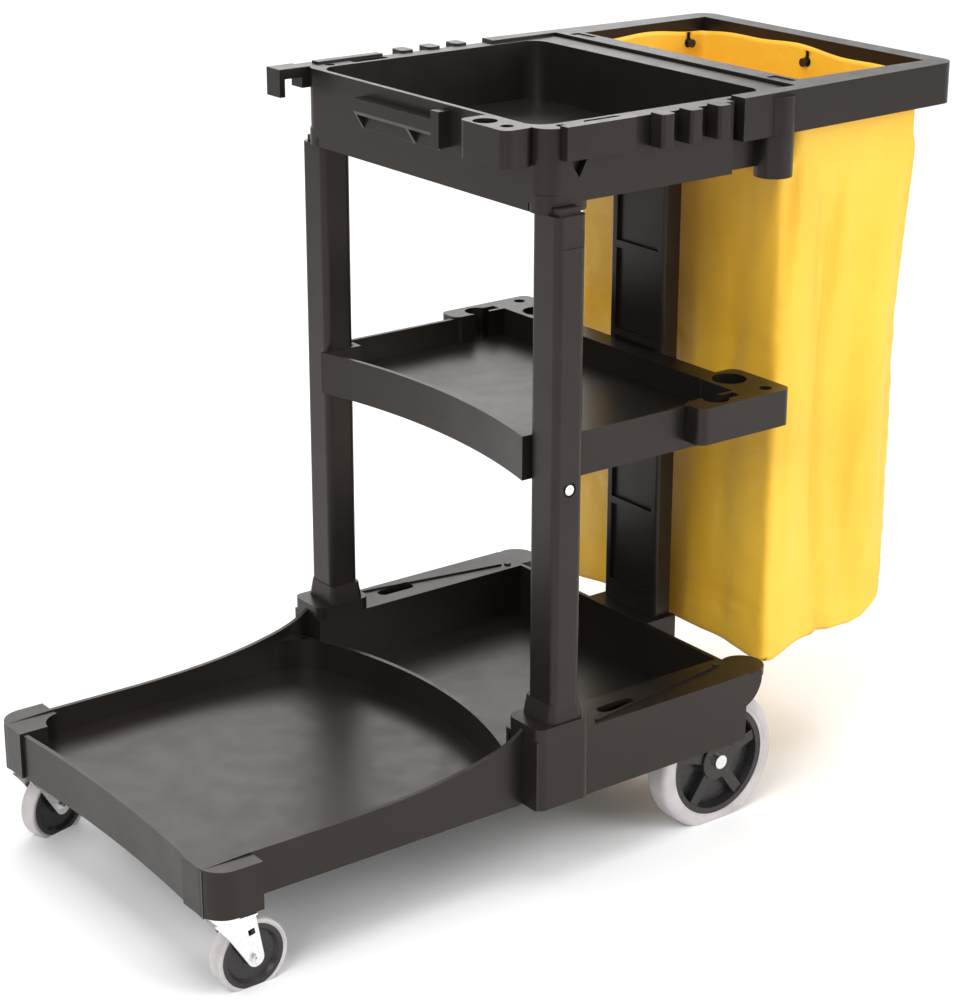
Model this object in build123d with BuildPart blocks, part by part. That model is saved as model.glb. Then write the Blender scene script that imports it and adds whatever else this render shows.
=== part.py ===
from build123d import *
import math
import os

os.makedirs("parts", exist_ok=True)

# Housekeeping cart. Millimetres, +Z up, floor at Z = 0.
# -X is the nose with the swivel casters, +X the handle end with the bag.
# +Y is the right-hand side and -Y the left-hand side.

# ---- driving dimensions ----
nose_x = -584.0            # front edge of the corner pads
handle_end_x = 584.0       # rear face of the bag frame
half_width = 276.0         # outside of the upright collars
total_height = 975.0       # top of the bag frame
wall = 6.0                 # moulded wall
fit = 0.4                  # gap between bolted mouldings
run_gap = 0.08             # radial running clearance

# rear wheels set the height of the ledges above them
wheel_radius = 95.0
wheel_gap = 20.0           # wheel to the underside of its ledge
ledge_z = 2 * wheel_radius + wheel_gap + wall
collar_top_z = ledge_z + 17.0

# base platform
deck_floor_z = 148.0
skirt_bottom_z = 122.5
front_rim_z = 178.0
skirt_y = 245.0            # outside of the front deck walls
panel_y = 272.0            # outside of the rear side panels
well_y = 210.0             # inside of the rear deck walls
rear_wall_x = 235.0
pad_length = 68.0
pad_y = 269.0
pad_corner = 32.0
pad_width = 68.0
pad_bottom_z = 118.0
pad_inner_x = -544.0
pad_inner_y = 230.0
pocket_end_x = -300.0
nose_sag = 13.0            # depth of the hollow in the nose edge
divider_apex_x = -86.0
divider_end_x = -140.0
divider_top_z = 189.0
divider_round = 60.0
heel_x = 246.0
heel_y = 243.0
heel_radius = 29.0

# front uprights
upright_x = -94.0
upright_depth = 44.0
upright_width = 51.0
upright_y = 269.0
tray_joint_z = 871.0
tenon_depth = 30.0
upright_wall = 5.0
foot_flare = 10.0

# rear post
post_x = 256.0
post_depth = 30.0
post_half = 54.0

# middle shelf
shelf_top_z = 596.0
shelf_bottom_z = 540.0
shelf_floor_z = 562.0
shelf_y = 245.0
shelf_rear_x = 255.0
shelf_apex_x = -76.0
shelf_end_x = -104.0
holder_x = 247.0           # bottle hole in each rear corner
holder_y = 197.0
holder_bore = 22.5
holder_front_x = 132.0     # corner block around the holes
holder_rear_x = 284.0
holder_out_y = 274.0
holder_in_y = 166.0
holder_bottom_z = 550.0
grip_x = 178.0             # handle hole beside it
grip_y = 249.0
grip_bore = 17.0

# top tray
tray_front_x = -100.0
tray_rear_x = 300.0
tray_y = 252.0
tray_rear_y = 236.0
tray_step_x = 188.0
tray_rim_z = 971.0
tray_bottom_z = 882.0
tray_floor_z = 893.0
pocket_front_x = -93.0
pocket_rear_x = 262.0
pocket_y = 226.0
cup_x = -121.0
cup_y = -165.0
cup_bore = 15.0
comb_bottom_z = 934.0
prong_x = (65.0, 109.0, 153.0)
prong_width = 20.0
rail_end_x = 24.0
ledge_reach = 15.0         # clip ledge on the front apron
ledge_top_z = 953.0
ledge_y0 = -50.0
ledge_y1 = 117.0
ledge_mid_y = 5.0
socket_x = 264.0
socket_y = 248.0
socket_radius = 24.0
peg_radius = 11.0
peg_bottom_z = 885.0

# bag frame
frame_bottom_z = 922.0
frame_front_x = 303.0
frame_y = 242.0
frame_front_y = 262.0
frame_band = 30.0
frame_corner = 25.0
arm_front_x = 196.0

# bag
bag_front_x = 306.0
bag_rear_x = 562.0
bag_half = 214.0
bag_wall = 3.0
bag_ease = 0.6             # neck of the bag to its frame
bag_bottom_z = 185.0
bag_top_z = 918.0
bag_lip_z = 962.0

# wheels and casters
wheel_x = 197.0
wheel_y = 221.0            # inner face of the rear tyres
wheel_width = 38.0
rim_radius = 75.0
axle_radius = 6.35
bush_radius = 9.5
caster_radius = 47.5
caster_core = 41.5
caster_width = 24.0
kingpin_x = -550.0
kingpin_y = 236.0
caster_trail = 30.0
fork_inner = 15.0          # half the gap between the cheeks
fork_plate = 2.5
fork_top_z = 106.0
caster_axle = 4.0
right_caster_turn = 14.0   # degrees off straight, as parked

# zip
zip_half = 14.0
zip_bottom_z = 240.0
zip_top_z = 880.0
slider_z = 300.0
slider_gap = 0.3

bolt_head = 6.5
bolt_height = 3.0
sides = (("left", -1.0), ("right", 1.0))


def block(x0, x1, y0, y1, z0, z1, mode=Mode.ADD):
    """Adds or cuts a box between two corners in the open part."""
    ya, yb = sorted((y0, y1))
    with Locations(((x0 + x1) / 2, (ya + yb) / 2, (z0 + z1) / 2)):
        Box(abs(x1 - x0), yb - ya, abs(z1 - z0), mode=mode)


def rod(x, y, z0, z1, radius, mode=Mode.ADD):
    """Adds or cuts a vertical cylinder in the open part."""
    with Locations((x, y, (z0 + z1) / 2)):
        Cylinder(radius, abs(z1 - z0), mode=mode)


def cross_rod(x, z, y0, y1, radius, mode=Mode.ADD):
    """Adds or cuts a cylinder lying along Y in the open part."""
    with Locations((x, (y0 + y1) / 2, z)):
        Cylinder(radius, abs(y1 - y0), rotation=(90, 0, 0), mode=mode)


def save(builder, name):
    """Labels a finished part and writes it."""
    builder.part.label = name
    export_step(builder.part, "parts/" + name + ".step")


# ---------------------------------------------------------------- base platform
nose_wall_x = nose_x + nose_sag
collar_front_x = upright_x - 26.0
collar_rear_x = upright_x + upright_depth + 14.0
boss_half = 20.0

with BuildPart() as base:
    # deck floor, with the concave nose edge
    with BuildSketch(Plane.XY.offset(deck_floor_z - wall)) as deck:
        with BuildLine():
            nose = ThreePointArc((nose_x, -skirt_y), (nose_wall_x, 0), (nose_x, skirt_y))
            Polyline(
                nose @ 1,
                (collar_front_x, skirt_y),
                (collar_front_x, well_y + wall),
                (rear_wall_x, well_y + wall),
                (rear_wall_x, -well_y - wall),
                (collar_front_x, -well_y - wall),
                (collar_front_x, -skirt_y),
                nose @ 0,
            )
        make_face()
    extrude(amount=wall)
    # nose wall
    with BuildSketch(Plane.XY.offset(skirt_bottom_z - 6)) as nose_band:
        with BuildLine():
            outer = ThreePointArc((nose_x, -skirt_y), (nose_wall_x, 0), (nose_x, skirt_y))
            inner = ThreePointArc(
                (nose_x + wall, skirt_y), (nose_wall_x + wall, 0), (nose_x + wall, -skirt_y)
            )
            Line(outer @ 1, inner @ 0)
            Line(inner @ 1, outer @ 0)
        make_face()
    extrude(amount=front_rim_z - skirt_bottom_z + 6)
    # front deck side walls, sweeping up towards the uprights
    for name, s in sides:
        with BuildSketch(Plane.XZ.offset(-s * skirt_y if s > 0 else skirt_y - wall)) as cheek:
            with BuildLine():
                sweep_up = Spline(
                    (nose_x + 60, front_rim_z + 4),
                    (-300, front_rim_z + 6),
                    (-190, front_rim_z + 20),
                    (collar_front_x, collar_top_z - 8),
                    tangents=((1, 0), (1, 0.9)),
                )
                Polyline(
                    sweep_up @ 1,
                    (collar_front_x, skirt_bottom_z),
                    (nose_x + 3, skirt_bottom_z),
                    (nose_x + 3, front_rim_z + 2),
                    sweep_up @ 0,
                )
            make_face()
        extrude(amount=wall)
    # corner pads above the casters
    for name, s in sides:
        with BuildSketch(Plane.XY.offset(pad_bottom_z)):
            with Locations((nose_x + pad_length / 2, s * (pad_y - pad_width / 2))):
                RectangleRounded(pad_length, pad_width, pad_corner)
            with Locations((nose_x + pad_length * 0.75, s * (pad_y - pad_width / 2))):
                Rectangle(pad_length / 2, pad_width)
            with Locations((nose_x + pad_length / 2, s * (pad_y - pad_width * 0.75))):
                Rectangle(pad_length, pad_width / 2)
        extrude(amount=front_rim_z + 2 - pad_bottom_z)
    with BuildSketch(Plane.XY.offset(deck_floor_z)):
        with Locations(((pad_inner_x + pocket_end_x) / 2, 0)):
            RectangleRounded(pocket_end_x - pad_inner_x, 2 * pad_inner_y, pad_corner)
    extrude(amount=front_rim_z + 3 - deck_floor_z, mode=Mode.SUBTRACT)
    # curved divider between the front and rear decks
    with BuildSketch(Plane.XY.offset(deck_floor_z - 1)) as divider:
        with BuildLine():
            front = ThreePointArc(
                (divider_end_x, -skirt_y + 3), (divider_apex_x, 0), (divider_end_x, skirt_y - 3)
            )
            back = ThreePointArc(
                (divider_end_x + wall, skirt_y - 3),
                (divider_apex_x + wall, 0),
                (divider_end_x + wall, -skirt_y + 3),
            )
            Line(front @ 1, back @ 0)
            Line(back @ 1, front @ 0)
        make_face()
    extrude(amount=divider_top_z - deck_floor_z + 1)
    # rounded corners where the divider meets the side walls
    inner_y = skirt_y - wall
    half_chord = skirt_y - 3
    divider_sag = divider_apex_x - divider_end_x
    divider_radius = (half_chord**2 + divider_sag**2) / (2 * divider_sag)
    round_y = inner_y - divider_round
    centre_x = divider_apex_x - divider_radius
    round_x = centre_x + math.sqrt((divider_radius - divider_round) ** 2 - round_y**2)
    share = divider_radius / (divider_radius - divider_round)
    touch_x = centre_x + share * (round_x - centre_x)
    touch_y = share * round_y
    for name, s in sides:
        with BuildSketch(Plane.XY.offset(deck_floor_z - 1)):
            with BuildLine():
                Polyline(
                    (round_x, s * inner_y), (round_x, s * (inner_y + 1)), (divider_end_x + 2, s * (inner_y + 1)),
                    (touch_x + 1, s * touch_y), (touch_x, s * touch_y),
                )
                mid_angle = math.atan2(touch_y - round_y, touch_x - round_x) / 2 + math.pi / 4
                ThreePointArc(
                    (touch_x, s * touch_y),
                    (round_x + divider_round * math.cos(mid_angle), s * (round_y + divider_round * math.sin(mid_angle))),
                    (round_x, s * inner_y),
                )
            make_face()
        extrude(amount=divider_top_z - deck_floor_z + 1)
        rod(divider_end_x + 6, s * (inner_y - 11), divider_top_z - 12, divider_top_z + 1, 5, Mode.SUBTRACT)
    # rear deck: inner walls, ledges over the wheels, side panels, rear wall
    for name, s in sides:
        block(collar_front_x, rear_wall_x, s * well_y, s * (well_y + wall), deck_floor_z - wall, ledge_z)
        block(collar_front_x, rear_wall_x, s * well_y, s * panel_y, ledge_z - wall, ledge_z)
        block(collar_front_x, rear_wall_x - 5, s * (panel_y - wall), s * panel_y, skirt_bottom_z, ledge_z)
        block(collar_rear_x, collar_rear_x + wall, s * well_y, s * panel_y, skirt_bottom_z, ledge_z)
    block(rear_wall_x - wall, rear_wall_x, -well_y - wall, well_y + wall, deck_floor_z - wall, ledge_z)
    # rounded heels on the rear corners, with a flared web below
    for name, s in sides:
        rod(heel_x, s * heel_y, ledge_z - 11, ledge_z, heel_radius)
        with BuildSketch(Plane.XZ.offset(-s * panel_y if s > 0 else panel_y - wall)):
            with BuildLine():
                Line((rear_wall_x - 30, ledge_z - 2), (heel_x + 10, ledge_z - 2))
                Line((heel_x + 10, ledge_z - 2), (heel_x + 10, ledge_z - 11))
                RadiusArc((heel_x + 10, ledge_z - 11), (rear_wall_x - 5, ledge_z - 46), 42)
                Line((rear_wall_x - 5, ledge_z - 46), (rear_wall_x - 30, ledge_z - 46))
                Line((rear_wall_x - 30, ledge_z - 46), (rear_wall_x - 30, ledge_z - 2))
            make_face()
        extrude(amount=wall)
    # raised beads that taper along the ledges
    for name, s in sides:
        with BuildSketch(Plane.XY.offset(ledge_z - 1)):
            with BuildLine():
                Polyline((206, s * 226), (-20, s * 262), (-20, s * 266), (206, s * 232), close=True)
            make_face()
        extrude(amount=3.5)
    # collars that carry the uprights
    for name, s in sides:
        with BuildSketch(Plane.XY.offset(skirt_bottom_z)):
            with Locations(((collar_front_x + collar_rear_x) / 2, s * (half_width + well_y) / 2)):
                RectangleRounded(collar_rear_x - collar_front_x, half_width - well_y, 13)
        extrude(amount=collar_top_z - skirt_bottom_z)
        block(
            upright_x + upright_wall + 1 - fit, upright_x + upright_depth - upright_wall - 1 + fit,
            s * (upright_y - upright_width + upright_wall + 1 - fit), s * (upright_y - upright_wall - 1 + fit),
            collar_top_z - tenon_depth - 2, collar_top_z + 1, Mode.SUBTRACT,
        )
    # boss behind the rear wall for the rear post
    block(rear_wall_x - 1, post_x + post_depth + 2, -post_half - 8, post_half + 8, deck_floor_z - wall, ledge_z - 1)
    # oval lifting slots in the ledges and the drain eyelets
    for name, s in sides:
        with BuildSketch(Plane.XY.offset(ledge_z - 20)):
            with Locations((30, s * 243)):
                SlotOverall(58, 18)
        extrude(amount=30, mode=Mode.SUBTRACT)
    # axle bosses under the rear deck and stiffening ribs under both decks
    for name, s in sides:
        block(wheel_x - boss_half, wheel_x + boss_half, s * (well_y - 14), s * (well_y + 2), wheel_radius - 17, deck_floor_z - 2)
    for rib_x in (-440.0, -300.0, -30.0, 120.0):
        block(rib_x - 2, rib_x + 2, -well_y + 8, well_y - 8, skirt_bottom_z + 4, deck_floor_z - 2)
    block(nose_wall_x + wall, rear_wall_x - wall, -2, 2, skirt_bottom_z + 4, deck_floor_z - 2)
    cross_rod(wheel_x, wheel_radius, -well_y - 4, well_y + 4, axle_radius + run_gap, Mode.SUBTRACT)
    # bores for the kingpins and the screws
    for name, s in sides:
        rod(kingpin_x, s * kingpin_y, pad_bottom_z - 1, pad_bottom_z + 26, 6.2, Mode.SUBTRACT)
save(base, "base_platform")

# ---------------------------------------------------------------- front uprights
for side, s in sides:
    with BuildPart() as upright:
        with BuildSketch(Plane.XY.offset(collar_top_z + 0.1)):
            with Locations((upright_x + upright_depth / 2, s * (upright_y - upright_width / 2))):
                RectangleRounded(upright_depth, upright_width, 9)
                RectangleRounded(
                    upright_depth - 2 * upright_wall, upright_width - 2 * upright_wall, 5, mode=Mode.SUBTRACT
                )
        extrude(amount=tray_joint_z - collar_top_z - 0.2)
        # flared foot on the inner and front sides
        with BuildSketch(Plane.XY.offset(collar_top_z + 0.1)):
            with Locations((upright_x + upright_depth / 2, s * (upright_y - upright_width / 2 - 2))):
                RectangleRounded(upright_depth + foot_flare, upright_width + foot_flare, 10)
        extrude(amount=2.4 * foot_flare, taper=10)
        # tenon into the collar and spigot into the tray
        block(
            upright_x + upright_wall + 1, upright_x + upright_depth - upright_wall - 1,
            s * (upright_y - upright_width + upright_wall + 1), s * (upright_y - upright_wall - 1),
            collar_top_z - tenon_depth, collar_top_z + 30,
        )
        block(
            upright_x + upright_wall + 1, upright_x + upright_depth - upright_wall - 1,
            s * (upright_y - upright_width + upright_wall + 1), s * (upright_y - upright_wall - 1),
            tray_joint_z - 20, tray_joint_z + 8,
        )
        # shallow blank panel near the top and the bolt recess
        block(
            upright_x + 8, upright_x + upright_depth - 3, s * (upright_y - 1.2), s * (upright_y + 1),
            832, 853, Mode.SUBTRACT,
        )
        cross_rod(upright_x + upright_depth / 2, 536, s * (upright_y - 3), s * (upright_y + 1), 9.5, Mode.SUBTRACT)
        cross_rod(upright_x + upright_depth / 2, 536, s * (upright_y - 8), s * (upright_y - 1), 4.2, Mode.SUBTRACT)
    save(upright, "front_upright_" + side)

# ---------------------------------------------------------------- rear post
with BuildPart() as post:
    with BuildSketch(Plane.XY.offset(ledge_z - 1 + 0.1)):
        with Locations((post_x + post_depth / 2, 0)):
            RectangleRounded(post_depth, 2 * post_half, 5)
    extrude(amount=tray_bottom_z - ledge_z + 1 - 0.2)
    # long recessed panels in the front face, between cross ribs
    panel_count = 5
    panel_start = ledge_z + 30
    panel_pitch = (tray_bottom_z - ledge_z - 60) / panel_count
    for i in range(panel_count):
        z0 = panel_start + i * panel_pitch
        block(post_x - 1, post_x + 5, -post_half + 12, post_half - 12, z0, z0 + panel_pitch - 10, Mode.SUBTRACT)
        block(
            post_x + post_depth - 12, post_x + post_depth + 1, -post_half + 8, post_half - 8,
            z0, z0 + panel_pitch - 10, Mode.SUBTRACT,
        )
save(post, "rear_post")

# ---------------------------------------------------------------- middle shelf
shelf_notch_x = upright_x + upright_depth + fit
shelf_notch_y = upright_y - upright_width - fit
with BuildPart() as shelf:
    with BuildSketch(Plane.XY.offset(shelf_bottom_z)) as shelf_outline:
        with BuildLine():
            lip = ThreePointArc((shelf_end_x, shelf_notch_y), (shelf_apex_x, 0), (shelf_end_x, -shelf_notch_y))
            Polyline(
                lip @ 1,
                (shelf_notch_x, -shelf_notch_y),
                (shelf_notch_x, -shelf_y),
                (shelf_rear_x, -shelf_y),
                (shelf_rear_x, shelf_y),
                (shelf_notch_x, shelf_y),
                (shelf_notch_x, shelf_notch_y),
                lip @ 0,
            )
        make_face()
    extrude(amount=shelf_top_z - shelf_bottom_z)
    # open tray above the floor
    with BuildSketch(Plane.XY.offset(shelf_floor_z)):
        with BuildLine():
            lip = ThreePointArc(
                (shelf_end_x + wall, shelf_notch_y - wall),
                (shelf_apex_x + wall, 0),
                (shelf_end_x + wall, -shelf_notch_y + wall),
            )
            Polyline(
                lip @ 1,
                (shelf_notch_x + wall, -shelf_notch_y + wall),
                (shelf_notch_x + wall, -shelf_y + wall),
                (222, -shelf_y + wall),
                (222, shelf_y - wall),
                (shelf_notch_x + wall, shelf_y - wall),
                (shelf_notch_x + wall, shelf_notch_y - wall),
                lip @ 0,
            )
        make_face()
    extrude(amount=shelf_top_z - shelf_floor_z + 1, mode=Mode.SUBTRACT)
    # hollow underneath
    with BuildSketch(Plane.XY.offset(shelf_bottom_z - 1)):
        with BuildLine():
            lip = ThreePointArc(
                (shelf_end_x + wall, shelf_notch_y - wall),
                (shelf_apex_x + wall, 0),
                (shelf_end_x + wall, -shelf_notch_y + wall),
            )
            Polyline(
                lip @ 1,
                (shelf_notch_x + wall, -shelf_notch_y + wall),
                (shelf_rear_x - wall, -shelf_y + wall),
                (shelf_rear_x - wall, shelf_y - wall),
                (shelf_notch_x + wall, shelf_notch_y - wall),
                lip @ 0,
            )
        make_face()
    extrude(amount=shelf_floor_z - wall - shelf_bottom_z + 1, mode=Mode.SUBTRACT)
    # corner holders for spray bottles and mop handles
    for side, s in sides:
        with BuildSketch(Plane.XY.offset(holder_bottom_z)):
            with Locations(((holder_front_x + holder_rear_x) / 2, s * (shelf_y - 8 + holder_out_y) / 2)):
                RectangleRounded(holder_rear_x - holder_front_x, holder_out_y - shelf_y + 8, 12)
            with Locations(((holder_x - 30 + holder_rear_x) / 2, s * (holder_in_y + holder_out_y) / 2)):
                RectangleRounded(holder_rear_x - holder_x + 30, holder_out_y - holder_in_y, 14)
        extrude(amount=shelf_top_z + 2 - holder_bottom_z)
    for side, s in sides:
        rod(holder_x, s * holder_y, holder_bottom_z + 5, shelf_top_z + 3, holder_bore, Mode.SUBTRACT)
        rod(grip_x, s * grip_y, shelf_bottom_z - 1, shelf_top_z + 3, grip_bore, Mode.SUBTRACT)
        block(grip_x, grip_x + 34, s * (grip_y - 7), s * (grip_y + 7), shelf_bottom_z - 1, shelf_top_z + 3, Mode.SUBTRACT)
        rod(holder_x + 10, s * (grip_y + 5), holder_bottom_z + 5, shelf_top_z + 3, 8, Mode.SUBTRACT)
    # ribs under the floor
    for rib_x in (-20.0, 80.0, 180.0):
        block(rib_x - 2, rib_x + 2, -shelf_notch_y + wall, shelf_notch_y - wall, shelf_bottom_z + 4, shelf_floor_z - 2)
save(shelf, "middle_shelf")

# ---------------------------------------------------------------- top tray
with BuildPart() as tray:
    with BuildSketch(Plane.XY.offset(tray_bottom_z)):
        with BuildLine():
            Polyline(
                (tray_front_x, -tray_y), (tray_step_x, -tray_y), (tray_step_x, -tray_rear_y),
                (tray_rear_x, -tray_rear_y), (tray_rear_x, tray_rear_y), (tray_step_x, tray_rear_y),
                (tray_step_x, tray_y), (tray_front_x, tray_y), close=True,
            )
        make_face()
        fillet(vertices().group_by(Axis.X)[0], 24)
    extrude(amount=tray_rim_z - tray_bottom_z)
    # the open pocket
    with BuildSketch(Plane.XY.offset(tray_floor_z)):
        with Locations(((pocket_front_x + pocket_rear_x) / 2, 0)):
            RectangleRounded(pocket_rear_x - pocket_front_x, 2 * pocket_y, 26)
    extrude(amount=tray_rim_z - tray_floor_z + 1, mode=Mode.SUBTRACT)
    # hollow behind the rear rim
    block(pocket_rear_x + wall, tray_rear_x - wall, -200, 200, tray_bottom_z - 1, tray_rim_z - wall, Mode.SUBTRACT)
    # deeper front apron and corner legs that meet the uprights
    block(tray_front_x + 1, tray_front_x + 1 + wall, -upright_y + 50, upright_y - 50, tray_joint_z, tray_bottom_z + 2)
    for side, s in sides:
        with BuildSketch(Plane.XY.offset(tray_joint_z)):
            with Locations((tray_front_x + 36, s * (tray_y - 22))):
                RectangleRounded(72, 44, 20)
        extrude(amount=tray_floor_z - tray_joint_z)
        block(
            upright_x + upright_wall + 1 - fit, upright_x + upright_depth - upright_wall - 1 + fit,
            s * (upright_y - upright_width + upright_wall + 1 - fit), s * (upright_y - upright_wall - 1 + fit),
            tray_joint_z - 1, tray_joint_z + 9, Mode.SUBTRACT,
        )
    # tool combs along both long sides: rail, three prongs and the slots between them
    for side, s in sides:
        block(-78, rail_end_x, s * (tray_y - 2), s * (tray_y + 12), comb_bottom_z, tray_rim_z + 3)
        with BuildSketch(Plane.XY.offset(comb_bottom_z)):
            for x in prong_x:
                with Locations((x, s * (tray_y - 2 + half_width) / 2)):
                    RectangleRounded(prong_width, half_width - tray_y + 2, 5)
        extrude(amount=tray_rim_z + 3 - comb_bottom_z)
    # holes in the side rims and a hook slot in each side wall
    for side, s in sides:
        rod(-67, s * 239, tray_rim_z - 30, tray_rim_z + 1, 6.5, Mode.SUBTRACT)
        with BuildSketch(Plane.XY.offset(tray_rim_z - 24)):
            with Locations((-5, s * 239)):
                SlotOverall(56, 13)
        extrude(amount=30, mode=Mode.SUBTRACT)
    # hook-shaped recess low on each side
    for side, s in sides:
        with BuildSketch(Plane.XZ.offset(-s * (tray_y - 9) if s < 0 else -tray_y - 1)):
            with Locations((-56, 932)):
                Circle(7)
            with Locations((-42, 936)):
                Circle(6)
            with BuildLine():
                Polyline((-63, 930), (-36, 936), (-50, 910), close=True)
            make_face()
        extrude(amount=10, mode=Mode.SUBTRACT)
    # cup block with two bores on the left of the apron
    with BuildSketch(Plane.XY.offset(926)):
        with Locations((tray_front_x - 18, (-137 - 228) / 2)):
            RectangleRounded(44, 91, 12)
    extrude(amount=tray_rim_z - 926)
    rod(cup_x, cup_y, 926 + 5, tray_rim_z + 1, cup_bore, Mode.SUBTRACT)
    rod(cup_x + 2, -204, 926 + 5, tray_rim_z + 1, 8, Mode.SUBTRACT)
    # clip ledge on the apron, with its gussets and end rib
    with BuildSketch(Plane.XZ.offset(-ledge_y1)):
        with BuildLine():
            Polyline(
                (tray_front_x + 1, ledge_top_z), (tray_front_x - ledge_reach, ledge_top_z),
                (tray_front_x - ledge_reach, ledge_top_z - 16), (tray_front_x + 1, ledge_top_z - 42), close=True,
            )
        make_face()
    extrude(amount=ledge_y1 - ledge_y0)
    for y0, y1 in ((ledge_y0 + 4, ledge_mid_y - 3), (ledge_mid_y + 3, ledge_y1 - 4)):
        block(
            tray_front_x - ledge_reach + 3, tray_front_x - 0.2, y0, y1,
            ledge_top_z - 60, ledge_top_z - 4, Mode.SUBTRACT,
        )
    block(tray_front_x - 18, tray_front_x + 1, -69, -53, 921, 965)
    # mop hook on the right front corner
    block(tray_front_x - 40, tray_front_x - 32, 245, half_width, 935, tray_rim_z)
    block(tray_front_x - 36, tray_front_x - 1, 245, half_width, 958, tray_rim_z)
    block(tray_front_x - 6, tray_front_x + 30, 245, half_width - 6, 944, tray_rim_z)
    # sockets for the bag frame pegs at the rear corners
    for side, s in sides:
        rod(socket_x, s * (socket_y - 4), tray_joint_z - 2, frame_bottom_z - 0.3, socket_radius)
        block(
            socket_x - socket_radius, socket_x + socket_radius, s * (tray_rear_y - 8), s * (socket_y - 4),
            tray_joint_z + 12, frame_bottom_z - 0.3,
        )
    for side, s in sides:
        block(tray_step_x + 4, tray_rear_x + 12, s * (tray_rear_y + fit), s * 300, frame_bottom_z - 0.3, 1000, Mode.SUBTRACT)
        rod(socket_x, s * (socket_y + 1), peg_bottom_z - 1, frame_bottom_z + 1, peg_radius + 0.2, Mode.SUBTRACT)
save(tray, "top_tray")

# ---------------------------------------------------------------- bag frame
arm_inner_front = tray_rear_y + 2 * fit
with BuildPart() as bag_frame:
    with BuildSketch(Plane.XY.offset(frame_bottom_z)):
        with BuildLine():
            Polyline(
                (arm_front_x, -frame_front_y), (handle_end_x, -frame_y), (handle_end_x, frame_y),
                (arm_front_x, frame_front_y), (arm_front_x, arm_inner_front), (frame_front_x, arm_inner_front),
                (frame_front_x, -arm_inner_front), (arm_front_x, -arm_inner_front), close=True,
            )
        make_face()
        fillet(vertices().group_by(Axis.X)[-1], frame_corner)
        with BuildLine():
            Polyline(
                (frame_front_x + frame_band, -frame_y + frame_band + 1), (handle_end_x - frame_band, -frame_y + frame_band),
                (handle_end_x - frame_band, frame_y - frame_band), (frame_front_x + frame_band, frame_y - frame_band + -1),
                close=True,
            )
        make_face(mode=Mode.SUBTRACT)
    extrude(amount=total_height - frame_bottom_z)
    # round bosses on the arms with the pegs that drop into the tray
    for side, s in sides:
        rod(socket_x, s * (socket_y + 3), frame_bottom_z, total_height - 6, 19)
        block(socket_x - 30, socket_x + 30, s * 200, s * (arm_inner_front), frame_bottom_z - 1, total_height + 1, Mode.SUBTRACT)
    for side, s in sides:
        rod(socket_x, s * (socket_y + 1), peg_bottom_z, frame_bottom_z + 10, peg_radius)
    # shallow blank panel on the crossbar ends
    for side, s in sides:
        block(310, 326, s * 175, s * 215, total_height - 1.5, total_height + 1, Mode.SUBTRACT)
    # hollow underside of the rear bar
    block(
        handle_end_x - frame_band + 5, handle_end_x - 5, -frame_y + 30, frame_y - 30,
        frame_bottom_z - 1, total_height - 8, Mode.SUBTRACT,
    )
save(bag_frame, "bag_frame")

# studs that the bag hangs on, inside the frame
loop_front = frame_front_x + frame_band
loop_rear = handle_end_x - frame_band
loop_half = frame_y - frame_band
stud_gap = 0.5             # clear of the frame's slightly tapered loop
stud_side_x = 522.0
stud_front_y = 130.0
stud_z = bag_top_z + 24
# each place is a point on the loop and the turn that points the stud inwards
stud_places = [(loop_front, -stud_front_y, 0), (loop_front, stud_front_y, 0), (loop_rear, 0, 180),
               (stud_side_x, loop_half, -90), (stud_side_x, -loop_half, 90)]
with BuildPart() as studs:
    for x, y, turn in stud_places:
        with Locations(Location((x, y, stud_z), (0, 0, turn)) * Location((4 + stud_gap, 0, 0))):
            Cylinder(3, 8, rotation=(0, 90, 0))
        with Locations(Location((x, y, stud_z), (0, 0, turn)) * Location((9.5 + stud_gap, 0, 0))):
            Cylinder(6, 3, rotation=(0, 90, 0))
save(studs, "bag_studs")

# ---------------------------------------------------------------- bag
bag_out_front = loop_front + bag_ease
bag_out_rear = loop_rear - bag_ease
bag_neck_half = loop_half - 2 * bag_ease
shoulder_z = frame_bottom_z - 1
with BuildPart() as bag:
    with BuildSketch(Plane.XY.offset(bag_bottom_z)):
        with Locations(((bag_front_x + bag_rear_x) / 2, 0)):
            RectangleRounded(bag_rear_x - bag_front_x, 2 * bag_half, 24)
    extrude(amount=shoulder_z - bag_bottom_z)
    fillet(bag.edges().group_by(Axis.Z)[0], 2 * bag_wall)
    with BuildSketch(Plane.XY.offset(bag_bottom_z + bag_wall)):
        with Locations(((bag_front_x + bag_rear_x) / 2, 0)):
            RectangleRounded(bag_rear_x - bag_front_x - 2 * bag_wall, 2 * (bag_half - bag_wall), 20)
    extrude(amount=shoulder_z - bag_bottom_z - 2 * bag_wall, mode=Mode.SUBTRACT)
    with BuildSketch(Plane.XY.offset(shoulder_z - 2 * bag_wall)):
        with Locations(((bag_out_front + bag_out_rear) / 2, 0)):
            RectangleRounded(bag_out_rear - bag_out_front - 2 * bag_wall, 2 * (bag_neck_half - bag_wall), 11)
    extrude(amount=3 * bag_wall, mode=Mode.SUBTRACT)
save(bag, "bag")

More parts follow.
